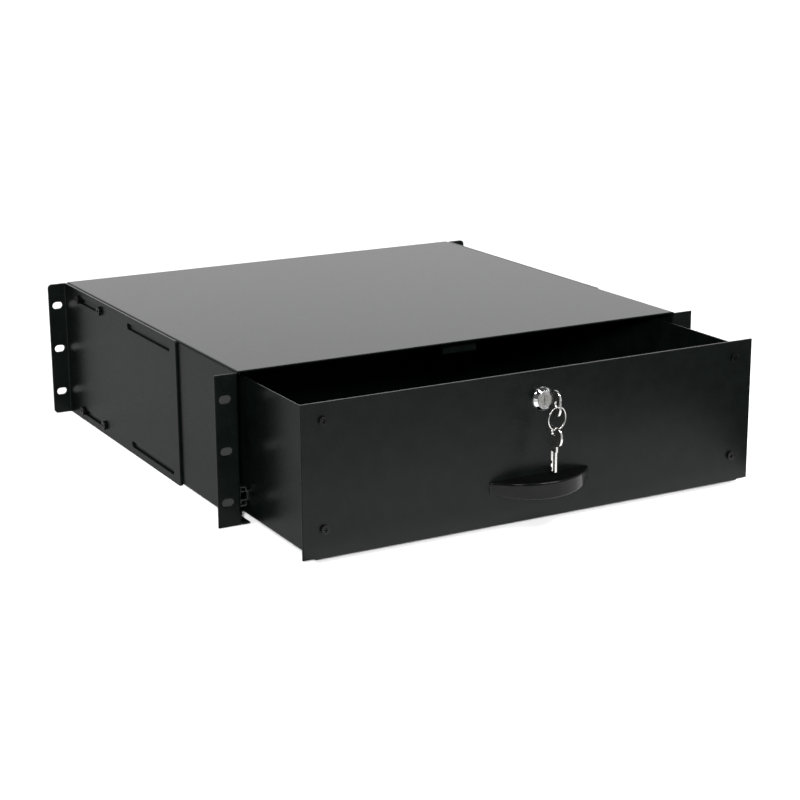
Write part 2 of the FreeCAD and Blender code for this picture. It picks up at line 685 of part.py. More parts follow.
def inner_rail(word, side):
    """Moving slide member on the drawer side: a channel with lips turned outwards."""
    piece = Piece(f"{word}_inner_rail")
    flange = f"{BALL_RISE} - ball_size / 2 - ball_play"
    lip_face = f"{BALL_REACH} - ball_size / 2 - ball_play"
    lip_top = "rail_height / 2 - rail_metal - inner_lip_room"
    web = "slide_space - rail_metal"
    half = [("slide_space", flange), (lip_face, flange), (lip_face, lip_top),
            (f"{lip_face} - rail_metal", lip_top), (f"{lip_face} - rail_metal", f"{flange} - rail_metal"),
            (web, f"{flange} - rail_metal")]

    def channel(drawing):
        upper = [(rail_x(side, reach), f"{RAIL_LEVEL} + ({rise})") for reach, rise in half]
        lower = [(rail_x(side, reach), f"{RAIL_LEVEL} - ({rise})") for reach, rise in half]
        outline(drawing, upper + lower[::-1])

    piece.pad("XZ", INNER_RAIL_FRONT, f"{INNER_RAIL_BACK} - {INNER_RAIL_FRONT}", channel)
    near = f"{INNER_WALL} - slide_space"
    piece.cut("YZ", span(side, near, f"{near} + rail_metal"), "rail_metal",
              circles(INNER_RIVETS, "rivet_shank + thread_gap"))

    def stop_ears(drawing):
        for sign in (-1, 1):
            box(drawing, (rail_x(side, lip_face), f"{RAIL_LEVEL} + {sign} * ({lip_top} - rail_metal)"),
                (rail_x(side, f"{lip_face} - rail_metal"),
                 f"{RAIL_LEVEL} + {sign} * ({lip_top} + stop_ear_rise)"))
    piece.pad("XZ", f"{INNER_RAIL_BACK} - stop_ear_length", "stop_ear_length", stop_ears)


def ball_spots():
    """Distance of each ball of a row from the front of its cage."""
    last = 5
    return [f"ball_end + {index} * ({CAGE_LENGTH} - 2 * ball_end) / {last}" for index in range(last + 1)]


def ball_cage(word, side):
    """Strip that spaces the balls, folded over both rows."""
    piece = Piece(f"{word}_ball_cage")
    outside = "rail_height / 2 - rail_metal - cage_play"
    edge = f"{BALL_REACH} + cage_grip"
    near = "rail_metal + cage_play"
    half = [(near, outside), (edge, outside), (edge, f"{outside} - cage_metal"),
            (f"{near} + cage_metal", f"{outside} - cage_metal")]

    def channel(drawing):
        upper = [(rail_x(side, reach), f"{RAIL_LEVEL} + ({rise})") for reach, rise in half]
        lower = [(rail_x(side, reach), f"{RAIL_LEVEL} - ({rise})") for reach, rise in half]
        outline(drawing, upper + lower[::-1])

    piece.pad("XZ", CAGE_FRONT, CAGE_LENGTH, channel)
    centres = [(rail_x(side, BALL_REACH), f"{CAGE_FRONT} + {spot}") for spot in ball_spots()]
    piece.cut("XY", f"{RAIL_LEVEL} - rail_height / 2", "rail_height",
              circles(centres, "ball_size / 2 - ball_play"))


def slide_balls(word, side):
    """Two rows of loose balls between the slide members."""
    balls = []
    for row in (-1, 1):
        for index, spot in enumerate(ball_spots()):
            ball = doc.addObject("Part::Sphere", f"{word}_ball_{row + 1}_{index}")
            ball.setExpression("Radius", formula("ball_size / 2"))
            ball.setExpression("Placement.Base.x", formula(rail_x(side, BALL_REACH)))
            ball.setExpression("Placement.Base.y", formula(f"{CAGE_FRONT} + {spot}"))
            ball.setExpression("Placement.Base.z", formula(f"{RAIL_LEVEL} + {row} * {BALL_RISE}"))
            balls.append(ball)
    group = doc.addObject("Part::Compound", f"{word}_slide_balls")
    group.Label = f"{word}_slide_balls"
    group.Links = balls
    PARTS[group.Label] = group


def rail_bumper(word, side):
    """Rubber stop in the back of the fixed rail."""
    piece = Piece(f"{word}_rail_bumper")

    def block(drawing):
        half = "(rail_height / 2 - rail_lip - bumper_edge)"
        box(drawing, (rail_x(side, "rail_metal"), f"{RAIL_LEVEL} - {half}"),
            (rail_x(side, "rail_depth - rail_metal"), f"{RAIL_LEVEL} + {half}"))
    piece.pad("XZ", f"{RAIL_BACK} - bumper_length", "bumper_length", block)


def rail_rivets():
    """Flush rivets that hold the fixed rails to the chassis walls."""
    piece = Piece("outer_rail_rivets")
    for side in SIDES.values():
        head = span(side, f"{INNER_WALL} - rail_metal", f"{INNER_WALL} - rail_metal + rivet_sunk_height")
        piece.pad("YZ", head, "rivet_sunk_height", circles(RAIL_RIVETS, "rivet_head"))
        shank = span(side, f"{INNER_WALL} - rail_metal", HALF_WIDTH)
        piece.pad("YZ", shank, "rail_metal + shell_wall", circles(RAIL_RIVETS, "rivet_shank"))


def inner_rail_rivets():
    """Rivets that hold the moving rails to the drawer sides."""
    piece = Piece("inner_rail_rivets")
    for side in SIDES.values():
        outer = f"{TRAY_HALF} + rail_metal"
        inner = f"{TRAY_HALF} - tray_wall"
        head = span(side, outer, f"{outer} + rivet_head_height")
        piece.pad("YZ", head, "rivet_head_height", circles(INNER_RIVETS, "rivet_head"))
        tail = span(side, f"{inner} - rivet_head_height", inner)
        piece.pad("YZ", tail, "rivet_head_height", circles(INNER_RIVETS, "rivet_head"))
        shank = span(side, inner, outer)
        piece.pad("YZ", shank, "rail_metal + tray_wall", circles(INNER_RIVETS, "rivet_shank"))


def drawer_tray():
    """Floor and sides of the drawer, folded from one sheet, with front flanges for the panel."""
    piece = Piece("drawer_tray")
    inner = f"({TRAY_HALF} - tray_wall)"
    floor = f"{TRAY_BOTTOM} + tray_wall"

    def fold(drawing):
        outline(drawing, [
            (f"-{TRAY_HALF}", TRAY_BOTTOM), (f"-{TRAY_HALF}", TRAY_TOP), (f"-{inner}", TRAY_TOP),
            (f"-{inner}", floor), (inner, floor), (inner, TRAY_TOP), (TRAY_HALF, TRAY_TOP),
            (TRAY_HALF, TRAY_BOTTOM),
        ])

    def flanges(drawing):
        for side in (-1, 1):
            box(drawing, (f"{side} * ({TRAY_HALF} - tray_wall / 2)", f"{TRAY_BOTTOM} + tray_flange_relief"),
                (f"{side} * ({TRAY_HALF} - tray_front_flange)", TRAY_TOP))

    piece.pad("XZ", PANEL_BACK, f"{TRAY_BACK} - {PANEL_BACK}", fold)
    outer = [(f"{side} * {TRAY_HALF}", TRAY_BOTTOM) for side in (-1, 1)]
    piece.round("tray_bend + tray_wall", along("Y", outer))
    piece.round("tray_bend", along("Y", [(f"{side} * {inner}", floor) for side in (-1, 1)]))
    piece.pad("XZ", PANEL_BACK, "tray_wall", flanges)
    piece.cut("XZ", PANEL_BACK, "tray_wall", circles(PANEL_SCREWS, "screw_hole"))
    piece.cut("YZ", f"-{TRAY_HALF}", f"2 * {TRAY_HALF}", circles(INNER_RIVETS, "rivet_shank + thread_gap"))


def drawer_back():
    """Back wall of the drawer, with side returns welded inside the tray."""
    piece = Piece("drawer_back")
    edge = f"({TRAY_HALF} - tray_wall)"

    def fold(drawing):
        outline(drawing, [
            (f"-{edge}", TRAY_BACK), (f"-{edge}", f"{TRAY_BACK} - tray_back_return"),
            (f"-{edge} + tray_wall", f"{TRAY_BACK} - tray_back_return"),
            (f"-{edge} + tray_wall", f"{TRAY_BACK} - tray_wall"),
            (f"{edge} - tray_wall", f"{TRAY_BACK} - tray_wall"),
            (f"{edge} - tray_wall", f"{TRAY_BACK} - tray_back_return"),
            (edge, f"{TRAY_BACK} - tray_back_return"), (edge, TRAY_BACK),
        ])
    bottom = f"{TRAY_BOTTOM} + tray_wall + tray_bend"
    piece.pad("XY", bottom, f"{TRAY_TOP} - ({bottom})", fold)
    piece.round("tray_bend + tray_wall", along("Z", [(f"{side} * {edge}", TRAY_BACK) for side in (-1, 1)]))


def front_panel():
    """Drawer front with a return folded under the tray, notched to clear the chassis flanges."""
    piece = Piece("front_panel")
    stub = f"{PANEL_BOTTOM} + panel_stub_rise"
    fold_half = f"({PANEL_HALF} - panel_notch)"

    def face(drawing):
        outline(drawing, [
            (f"-{PANEL_HALF}", stub), (f"-{PANEL_HALF}", PANEL_TOP), (PANEL_HALF, PANEL_TOP),
            (PANEL_HALF, stub),
            (fold_half, stub), (fold_half, PANEL_BOTTOM), (f"-{fold_half}", PANEL_BOTTOM),
            (f"-{fold_half}", stub),
        ])

    def under(drawing):
        box(drawing, (f"-{fold_half}", PANEL_FRONT), (fold_half, f"{PANEL_FRONT} + panel_return"))

    piece.pad("XZ", PANEL_FRONT, "panel_wall", face)
    piece.pad("XY", PANEL_BOTTOM, "panel_wall", under)
    piece.round("panel_wall / 2", along("X", [(PANEL_FRONT, PANEL_BOTTOM)]))
    piece.cut("XZ", PANEL_FRONT, "panel_wall", circles(PANEL_SCREWS + HANDLE_SCREWS, "screw_hole"))
    piece.cut("XZ", PANEL_FRONT, "panel_wall", circles([("0", LOCK_LEVEL)], "barrel_radius + thread_gap"))


def panel_fasteners():
    """Screws through the corners of the drawer front, and their nuts behind the tray flanges."""
    screws = Piece("panel_screws")
    crown = f"({PANEL_FRONT} - panel_head_height)"
    screws.pad("XZ", crown, "panel_head_height", circles(PANEL_SCREWS, "panel_head"))
    screws.pad("XZ", PANEL_FRONT, "panel_wall + tray_wall + nut_height + screw_shank / 2",
               circles(PANEL_SCREWS, "screw_shank"))
    cross_recess(screws, "XZ", crown, "recess_depth", PANEL_SCREWS)

    nuts = Piece("panel_nuts")

    def draw(drawing):
        for centre in PANEL_SCREWS:
            hexagon(drawing, centre, "nut_flats")
            circle(drawing, centre, "screw_shank + thread_gap")
    nuts.pad("XZ", TRAY_INNER_FRONT, "nut_height", draw)


def half_moon(drawing, width, depth, back):
    """A chord along X at back, closed by an arc that bulges towards the user."""
    half = number(width) / 2
    rise = number(depth)
    radius = (half ** 2 + rise ** 2) / (2 * rise)
    line_y = number(back)
    centre = FreeCAD.Vector(0, line_y - rise + radius, 0)
    angle = math.atan2(line_y - centre.y, half)
    arc = Part.ArcOfCircle(Part.Circle(centre, FreeCAD.Vector(0, 0, 1), radius), math.pi - angle, angle)
    left = FreeCAD.Vector(-half, line_y, 0)
    right = FreeCAD.Vector(half, line_y, 0)
    curve = drawing.addGeometry(arc, False)
    chord = drawing.addGeometry(Part.LineSegment(right, left), False)
    drawing.addConstraint(Sketcher.Constraint("Coincident", curve, 2, chord, 1))
    drawing.addConstraint(Sketcher.Constraint("Coincident", chord, 2, curve, 1))
    fix(drawing, "DistanceX", chord, 1, f"({width}) / 2")
    fix(drawing, "DistanceY", chord, 1, back)
    fix(drawing, "DistanceX", chord, 2, f"-({width}) / 2")
    fix(drawing, "DistanceY", chord, 2, back)
    index = drawing.addConstraint(Sketcher.Constraint("Radius", curve, radius))
    drawing.setExpression(f"Constraints[{index}]", formula(bulge_radius(width, depth)))


def bulge_radius(width, depth):
    """Radius of the arc that bulges by depth over a chord of the given width."""
    return f"((({width}) ^ 2 / 4 + ({depth}) ^ 2) / (2 * ({depth})))"


def below_belly(drawing):
    """What lies below the handle's lower edge, which dips towards its middle."""
    half, end, low = "handle_width / 2", HANDLE_END, HANDLE_BOTTOM
    size = number(bulge_radius("handle_width", "handle_belly"))
    centre = FreeCAD.Vector(0, number(low) + size, 0)
    angle = math.atan2(number(end) - centre.y, number(half))
    ring = Part.Circle(centre, FreeCAD.Vector(0, 0, 1), size)
    curve = drawing.addGeometry(Part.ArcOfCircle(ring, math.pi - angle, angle), False)
    corners = [(half, end), (half, low), (f"-{half}", low), (f"-{half}", end)]
    spots = [FreeCAD.Vector(number(across), number(level), 0) for across, level in corners]
    lines = [drawing.addGeometry(Part.LineSegment(spots[step], spots[step + 1]), False) for step in range(3)]
    chain = [curve] + lines
    for step, line in enumerate(chain):
        drawing.addConstraint(Sketcher.Constraint("Coincident", line, 2, chain[(step + 1) % 4], 1))
    held = [(lines[0], 1), (lines[1], 1), (lines[2], 1), (lines[2], 2)]
    for (line, spot), (across, level) in zip(held, corners):
        fix(drawing, "DistanceX", line, spot, across)
        fix(drawing, "DistanceY", line, spot, level)
    index = drawing.addConstraint(Sketcher.Constraint("Radius", curve, size))
    drawing.setExpression(f"Constraints[{index}]", formula(bulge_radius("handle_width", "handle_belly")))


def pull_handle():
    """Half-moon pull, hollow from below so that fingers hook behind its lip."""
    piece = Piece("pull_handle")
    height = "handle_end_height + handle_belly"

    def block(drawing):
        half_moon(drawing, "handle_width", "handle_depth", PANEL_FRONT)

    def hollow(drawing):
        half_moon(drawing, "handle_width - 4 * handle_wall", "handle_depth - handle_wall", PANEL_FRONT)

    piece.pad("XY", HANDLE_BOTTOM, height, block)
    piece.round("handle_edge", arc_at(HANDLE_TOP, bulge_radius("handle_width", "handle_depth")))
    piece.cut("XY", HANDLE_BOTTOM, f"{height} - handle_wall", hollow)
    piece.cut("XZ", f"{PANEL_FRONT} - handle_depth", "handle_depth", below_belly)
    boss_top = f"{HANDLE_TOP} - handle_boss_drop"
    for side in (-1, 1):
        middle = f"{side} * (handle_width / 2 - handle_screw_inset)"

        def boss(drawing, middle=middle):
            box(drawing, (f"{middle} - handle_boss", f"{boss_top} - handle_boss"),
                (f"{middle} + handle_boss", f"{HANDLE_TOP} - handle_wall / 2"))
        piece.pad("XZ", f"{PANEL_FRONT} - handle_boss_length", "handle_boss_length", boss)
    piece.cut("XZ", f"{PANEL_FRONT} - handle_boss_length", "handle_boss_length",
              circles(HANDLE_SCREWS, "screw_shank + thread_gap"))


def handle_screws():
    """Screws from inside the drawer front into the handle's bosses."""
    piece = Piece("handle_screws")
    piece.pad("XZ", PANEL_BACK, "panel_head_height", circles(HANDLE_SCREWS, "panel_head"))
    reach = "(handle_boss_length - thread_gap)"
    piece.pad("XZ", f"{PANEL_FRONT} - {reach}", f"{reach} + panel_wall",
              circles(HANDLE_SCREWS, "screw_shank"))
    crown = f"{PANEL_BACK} + panel_head_height - recess_depth"
    cross_recess(piece, "XZ", crown, "recess_depth", HANDLE_SCREWS)


def lock_barrel():
    """Fixed lock housing with its conical bezel on the front and its thread through the panel."""
    piece = Piece("lock_barrel")
    counterbore = "-bezel_height + plug_head_depth"
    piece.turn(("0", PANEL_FRONT, LOCK_LEVEL), "Y", [
        ("plug_head + lock_play", "-bezel_height"), ("bezel_face", "-bezel_height"),
        ("bezel_radius", "-bezel_land"), ("bezel_radius", "0"), ("barrel_radius", "0"),
        ("barrel_radius", "barrel_depth"), ("plug_body + lock_play", "barrel_depth"),
        ("plug_body + lock_play", counterbore), ("plug_head + lock_play", counterbore),
    ])


def lock_nut():
    """Hexagon nut that clamps the lock to the drawer front."""
    piece = Piece("lock_nut")

    def draw(drawing):
        hexagon(drawing, ("0", LOCK_LEVEL), "lock_nut_flats")
        circle(drawing, ("0", LOCK_LEVEL), "barrel_radius + thread_gap")
    piece.pad("XZ", PANEL_BACK, "lock_nut_height", draw)


def lock_plug():
    """Turning plug with its keyway and the square that drives the cam."""
    piece = Piece("lock_plug")
    face = "-bezel_height - plug_proud"
    shoulder = "-bezel_height + plug_head_depth - lock_play"
    end = "barrel_depth + lock_play"
    piece.turn(("0", PANEL_FRONT, LOCK_LEVEL), "Y", [
        ("0", face), ("plug_head", face), ("plug_head", shoulder), ("plug_body", shoulder),
        ("plug_body", end), ("0", end),
    ])
    half = "(cam_square - lock_play) / 2"

    def square(drawing):
        box(drawing, (f"-{half}", f"{LOCK_LEVEL} - {half}"), (half, f"{LOCK_LEVEL} + {half}"))

    def keyway(drawing):
        across = "key_wall / 2 + keyway_side_play"
        rise = "key_blade_width / 2 + keyway_end_play"
        box(drawing, (f"-({across})", f"{LOCK_LEVEL} - ({rise})"), (across, f"{LOCK_LEVEL} + ({rise})"))
    piece.pad("XZ", CAM_FRONT, "cam_wall - lock_play", square)
    mouth = "bezel_height + plug_proud"
    piece.cut("XZ", f"{PANEL_FRONT} - ({mouth})", f"{mouth} + key_length - key_out + keyway_room", keyway)
    bore_start = f"{CAM_FRONT} + cam_wall - lock_play - cam_screw_length"
    piece.cut("XZ", bore_start, "cam_screw_length", circles([("0", LOCK_LEVEL)], "rivet_shank + thread_gap"))


def lock_cam():
    """Cam on the back of the plug, lying to the left while unlocked."""
    piece = Piece("lock_cam")

    def arm(drawing):
        box(drawing, (f"-{CAM_REACH}", f"{LOCK_LEVEL} - cam_half_width"),
            ("cam_half_width", f"{LOCK_LEVEL} + cam_half_width"))

    def square(drawing):
        box(drawing, ("-cam_square / 2", f"{LOCK_LEVEL} - cam_square / 2"),
            ("cam_square / 2", f"{LOCK_LEVEL} + cam_square / 2"))
    piece.pad("XZ", CAM_FRONT, "cam_wall", arm)
    corners = [(end, f"{LOCK_LEVEL} + {side} * cam_half_width") for side in (-1, 1)
               for end in (f"-{CAM_REACH}", "cam_half_width")]
    piece.round("cam_half_width * 0.8", along("Y", corners))
    piece.cut("XZ", CAM_FRONT, "cam_wall", square)


def cam_screw():
    """Screw that keeps the cam on the plug."""
    piece = Piece("cam_screw")
    centre = [("0", LOCK_LEVEL)]
    seat = f"({CAM_FRONT} + cam_wall)"
    piece.pad("XZ", seat, "cam_screw_height", circles(centre, "cam_screw_head"))
    shank = "(cam_screw_length - cam_wall / 2)"
    piece.pad("XZ", f"{seat} - {shank}", shank, circles(centre, "rivet_shank"))
    cross_recess(piece, "XZ", f"{seat} + cam_screw_height - recess_depth", "recess_depth", centre)


def key(name, place, tilt):
    """A flat key: its bow end lies at the piece's own origin and its blade runs along +Y."""
    piece = Piece(name)
    neck_end = "(key_bow_length + key_neck_length)"
    blade = "key_blade_width / 2"

    def bow(drawing):
        box(drawing, ("0", "-key_bow_width / 2"), ("key_bow_length", "key_bow_width / 2"))

    def shank(drawing):
        tip = "key_length"
        outline(drawing, [
            ("key_bow_length - key_wall", "-key_neck_width / 2"), (neck_end, "-key_neck_width / 2"),
            (neck_end, f"-{blade}"), (f"{tip} - key_bite", f"-{blade}"), (tip, "-key_bite"),
            (tip, "key_bite / 2"), (f"{tip} - key_bite", f"{blade} - key_bite / 2"),
            (f"{tip} - 2 * key_bite", f"{blade} - key_bite"),
            (f"{tip} - 3 * key_bite", f"{blade} - key_bite"),
            (f"{tip} - 4 * key_bite", blade), (f"{tip} - 5 * key_bite", blade),
            (f"{tip} - 6 * key_bite", f"{blade} - key_bite"),
            (f"{tip} - 7 * key_bite", f"{blade} - key_bite"),
            (f"{tip} - 8 * key_bite", blade), (neck_end, blade), (neck_end, "key_neck_width / 2"),
            ("key_bow_length - key_wall", "key_neck_width / 2"),
        ])

    def groove(drawing):
        face = "-key_wall / 2"
        outline(drawing, [(face, f"{blade} - key_groove_edge"), (face, f"{blade} - key_groove_end"),
                          (f"{face} + key_groove_depth", f"{blade} - key_groove_root")])
    piece.pad("YZ", "-key_wall / 2", "key_wall", bow)
    corners = [(end, f"{side} * key_bow_width / 2") for side in (-1, 1) for end in ("0", "key_bow_length")]
    piece.round("key_bow_corner", along("X", corners))
    piece.pad("YZ", "-key_wall / 2", "key_wall", shank)
    piece.cut("XZ", neck_end, f"key_length - key_bite - {neck_end}", groove)
    piece.cut("YZ", "-key_wall / 2", "key_wall", circles([("key_hole_setback", "0")], "key_hole"))
    turned = FreeCAD.Rotation(FreeCAD.Vector(1, 0, 0), tilt)
    piece.body.Placement = FreeCAD.Placement(FreeCAD.Vector(), turned)
    for letter, text in zip("xyz", place):
        piece.body.setExpression(f"Placement.Base.{letter}", formula(text))
    doc.recompute()


def keys():
    """The key in the lock and the spare that hangs from the ring."""
    key("lock_key", ("0", f"{PANEL_FRONT} - key_out", LOCK_LEVEL), 0)
    drop = "(ring_radius ^ 2 - (spare_offset + key_wall / 2) ^ 2) ^ 0.5"
    hole_top = f"{RING_CENTRE} - {drop} + ring_wire + spare_seat / 2"
    key("spare_key", ("-spare_offset", RING_Y, f"{hole_top} - key_hole + key_hole_setback"), -90)


def key_ring():
    """Wire ring through the bow of the key in the lock."""
    ring = doc.addObject("Part::Torus", "key_ring")
    ring.Label = "key_ring"
    ring.setExpression("Placement.Rotation",
                       "create(<<rotation>>; create(<<vector>>; 0; 0; 1); Sizes.ring_turn)"
                       " * create(<<rotation>>; create(<<vector>>; 1; 0; 0); 90)")
    ring.setExpression("Radius1", formula("ring_radius"))
    ring.setExpression("Radius2", formula("ring_wire"))
    ring.setExpression("Placement.Base.y", formula(RING_Y))
    ring.setExpression("Placement.Base.z", formula(RING_CENTRE))
    PARTS["key_ring"] = ring


def build():
    """Every sub-part, fixed pieces first."""
    chassis_shell()
    rear_panel()
    lock_strike()
    for word, side in SIDES.items():
        rear_bracket(word, side)
        bracket_fasteners(word, side)
        outer_rail(word, side)
        inner_rail(word, side)
        ball_cage(word, side)
        slide_balls(word, side)
        rail_bumper(word, side)
    rail_rivets()
    inner_rail_rivets()
    drawer_tray()
    drawer_back()
    front_panel()
    panel_fasteners()
    pull_handle()
    handle_screws()
    lock_barrel()
    lock_nut()
    lock_plug()
    lock_cam()
    cam_screw()
    keys()
    key_ring()
    doc.recompute()


def write():
    """Check every object, then write each sub-part to its own file."""
    for item in doc.Objects:
        if "Invalid" in item.State or "Error" in item.State:
            raise ValueError(f"{item.Name} failed: {item.State}")
    for name, item in PARTS.items():
        if item.Shape.isNull() or not item.Shape.isValid() or not item.Shape.Solids:
            raise ValueError(f"{name} has no valid solid")
    os.makedirs("parts", exist_ok=True)
    for name, item in PARTS.items():
        item.Shape.exportStep(f"parts/{name}.step")
        print(f"{name}: {len(item.Shape.Solids)} solid(s), {item.Shape.Volume:.1f} mm3")


build()
write()
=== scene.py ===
"""Looks of the sliding rack drawer: materials, edge roundings, studio and camera, in metres."""
import json

import bpy
from mathutils import Euler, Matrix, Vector


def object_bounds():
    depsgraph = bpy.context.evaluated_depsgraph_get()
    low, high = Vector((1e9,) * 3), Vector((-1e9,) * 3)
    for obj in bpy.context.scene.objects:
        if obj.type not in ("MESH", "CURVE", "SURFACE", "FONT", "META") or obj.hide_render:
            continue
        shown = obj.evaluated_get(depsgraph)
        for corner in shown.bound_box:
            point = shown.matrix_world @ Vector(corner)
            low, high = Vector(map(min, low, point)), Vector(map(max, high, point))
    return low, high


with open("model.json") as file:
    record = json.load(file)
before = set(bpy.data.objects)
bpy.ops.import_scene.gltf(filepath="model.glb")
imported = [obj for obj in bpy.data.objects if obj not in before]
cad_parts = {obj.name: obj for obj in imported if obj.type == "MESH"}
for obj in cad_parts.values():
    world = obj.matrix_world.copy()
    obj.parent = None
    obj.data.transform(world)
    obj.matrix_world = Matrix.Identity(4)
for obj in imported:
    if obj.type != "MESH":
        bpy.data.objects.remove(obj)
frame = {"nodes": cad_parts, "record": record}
CAD_BOX = [list(map(float, corner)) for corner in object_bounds()]
NODES = frame["nodes"]
SLOTS = {entry["node"]: entry["material_slot"] for entry in frame["record"]["subparts"]}

NOISE_RANGE = (0.3, 0.7)      # where most values of a noise lie
TINT_RANGE = (0.35, 0.65)     # noise values that give the darkest and the lightest tint
BEVEL_SAMPLES = 8             # rays that round an edge in the shading
SAME_POINT = 0.000002         # points of a CAD mesh nearer than this are one
SAME_FACE = 0.002             # radians between CAD triangles of one flat face
SHARP_EDGE = 0.9              # radians at an edge that gets a bevel
PULL_VOXEL = 0.0005           # grain of the pull's mesh before it is smoothed
PULL_ROUNDS = 8               # smoothing rounds that round the pull's corners
FLOOR_REACH = 12.0
FLOOR_DROP = 0.0002           # the floor below the part's lowest edge
SHEET_DROP = 0.0001           # the sheets below it, so over the floor


def shader(name, **sockets):
    """A material with a Principled shader, its constants set on the shader's own sockets."""
    material = bpy.data.materials.new(name)
    material.use_nodes = True
    surface = material.node_tree.nodes["Principled BSDF"]
    for socket, value in sockets.items():
        surface.inputs[socket.replace("_", " ")].default_value = value
    return material, material.node_tree, surface


def noise(tree, scale, detail=2.0, roughness=0.5, stretch=None):
    """Noise in the object's own coordinates, with scale in features per metre."""
    place = tree.nodes.new("ShaderNodeTexCoord")
    texture = tree.nodes.new("ShaderNodeTexNoise")
    texture.inputs["Scale"].default_value = scale
    texture.inputs["Detail"].default_value = detail
    texture.inputs["Roughness"].default_value = roughness
    source = place.outputs["Object"]
    if stretch:
        mapping = tree.nodes.new("ShaderNodeMapping")
        mapping.inputs["Scale"].default_value = stretch
        tree.links.new(source, mapping.inputs["Vector"])
        source = mapping.outputs["Vector"]
    tree.links.new(source, texture.inputs["Vector"])
    return texture.outputs["Fac"]


def remap(tree, value, start, end, low, high, way="LINEAR"):
    """The value between start and end mapped onto low to high."""
    ranger = tree.nodes.new("ShaderNodeMapRange")
    ranger.interpolation_type = way
    for socket, amount in zip(("From Min", "From Max", "To Min", "To Max"), (start, end, low, high)):
        ranger.inputs[socket].default_value = amount
    tree.links.new(value, ranger.inputs["Value"])
    return ranger.outputs["Result"]


def spread(tree, value, low, high):
    """A noise's value mapped onto low to high."""
    return remap(tree, value, *NOISE_RANGE, low, high)


def tint(tree, value, dark, light):
    """A colour between dark and light by the value."""
    ramp = tree.nodes.new("ShaderNodeValToRGB")
    for element, position, colour in zip(ramp.color_ramp.elements, TINT_RANGE, (dark, light)):
        element.position = position
        element.color = (*colour, 1)
    tree.links.new(value, ramp.inputs["Fac"])
    return ramp.outputs["Color"]


def bump(tree, surface, height, distance, radius):
    """A bump of the given depth, with edges shaded as rounded to the radius, both in metres."""
    rounded = tree.nodes.new("ShaderNodeBevel")
    rounded.samples = BEVEL_SAMPLES
    rounded.inputs["Radius"].default_value = radius
    node = tree.nodes.new("ShaderNodeBump")
    node.inputs["Distance"].default_value = distance
    tree.links.new(rounded.outputs["Normal"], node.inputs["Normal"])
    tree.links.new(height, node.inputs["Height"])
    tree.links.new(node.outputs["Normal"], surface.inputs["Normal"])


def black_coat():
    """Satin black powder coat: fine orange peel and slightly uneven gloss."""
    material, tree, surface = shader("black_coat", Specular_IOR_Level=0.21)
    colour = tint(tree, noise(tree, 60, 3), (0.0009, 0.0015, 0.0013), (0.0015, 0.0023, 0.0021))
    tree.links.new(colour, surface.inputs["Base Color"])
    tree.links.new(spread(tree, noise(tree, 900, 2), 0.27, 0.33), surface.inputs["Roughness"])
    bump(tree, surface, noise(tree, 1400, 2), 0.000012, 0.0012)
    return material


def black_screw():
    """Glossy black plating on the pan-head screws."""
    material, tree, surface = shader("black_screw", Specular_IOR_Level=0.25)
    tree.links.new(tint(tree, noise(tree, 500), (0.001, 0.001, 0.001), (0.002, 0.002, 0.002)),
                   surface.inputs["Base Color"])
    tree.links.new(spread(tree, noise(tree, 1500), 0.16, 0.24), surface.inputs["Roughness"])
    bump(tree, surface, noise(tree, 2500), 0.000008, 0.0005)
    return material


def black_plastic():
    """Glossy moulded plastic of the pull."""
    material, tree, surface = shader("black_plastic", Specular_IOR_Level=0.23)
    tree.links.new(tint(tree, noise(tree, 80), (0.0008, 0.0008, 0.0008), (0.0014, 0.0014, 0.0014)),
                   surface.inputs["Base Color"])
    tree.links.new(spread(tree, noise(tree, 700), 0.10, 0.15), surface.inputs["Roughness"])
    bump(tree, surface, noise(tree, 900), 0.000006, 0.0003)
    return material


def metal(name, dark, light, rough_low, rough_high, grain, stretch=None, depth=0.000006):
    """A bare metal with grain at the given scale."""
    material, tree, surface = shader(name, Metallic=1.0)
    tree.links.new(tint(tree, noise(tree, grain / 4, 2, stretch=stretch), dark, light),
                   surface.inputs["Base Color"])
    tree.links.new(spread(tree, noise(tree, grain, 3, stretch=stretch), rough_low, rough_high),
                   surface.inputs["Roughness"])
    bump(tree, surface, noise(tree, grain, 2, stretch=stretch), depth, 0.0002)
    return material


def rubber():
    """Dull black rubber."""
    material, tree, surface = shader("rubber", Specular_IOR_Level=0.3)
    tree.links.new(tint(tree, noise(tree, 400), (0.010, 0.010, 0.010), (0.020, 0.020, 0.020)),
                   surface.inputs["Base Color"])
    tree.links.new(spread(tree, noise(tree, 900), 0.62, 0.82), surface.inputs["Roughness"])
    bump(tree, surface, noise(tree, 1800), 0.00002, 0.0003)
    return material


MATERIALS = {
    "black_coat": black_coat(),
    "black_screw": black_screw(),
    "black_plastic": black_plastic(),
    "rubber": rubber(),
    "zinc_steel": metal("zinc_steel", (0.30, 0.31, 0.32), (0.40, 0.41, 0.42), 0.25, 0.42, 900,
                        stretch=(1, 0.12, 1)),
    "bright_steel": metal("bright_steel", (0.74, 0.74, 0.74), (0.80, 0.80, 0.80), 0.05, 0.10, 1500),
    "chrome": metal("chrome", (0.74, 0.75, 0.76), (0.80, 0.81, 0.82), 0.05, 0.10, 1200,
                    depth=0.000003),
    "cast_zinc": metal("cast_zinc", (0.44, 0.44, 0.43), (0.58, 0.58, 0.57), 0.35, 0.55, 1600,
                       depth=0.00005),
    "nickel": metal("nickel", (0.70, 0.69, 0.67), (0.86, 0.85, 0.83), 0.10, 0.22, 700,
                    depth=0.00003),
}

BEVELS = {
    "front_panel": 0.0004, "drawer_back": 0.0002, "rear_panel": 0.0002,
    "lock_key": 0.0003, "spare_key": 0.0003,
    "lock_barrel": 0.0003, "lock_plug": 0.0002, "lock_nut": 0.0003, "lock_cam": 0.0003,
}
MOULDED = ("pull_handle",)


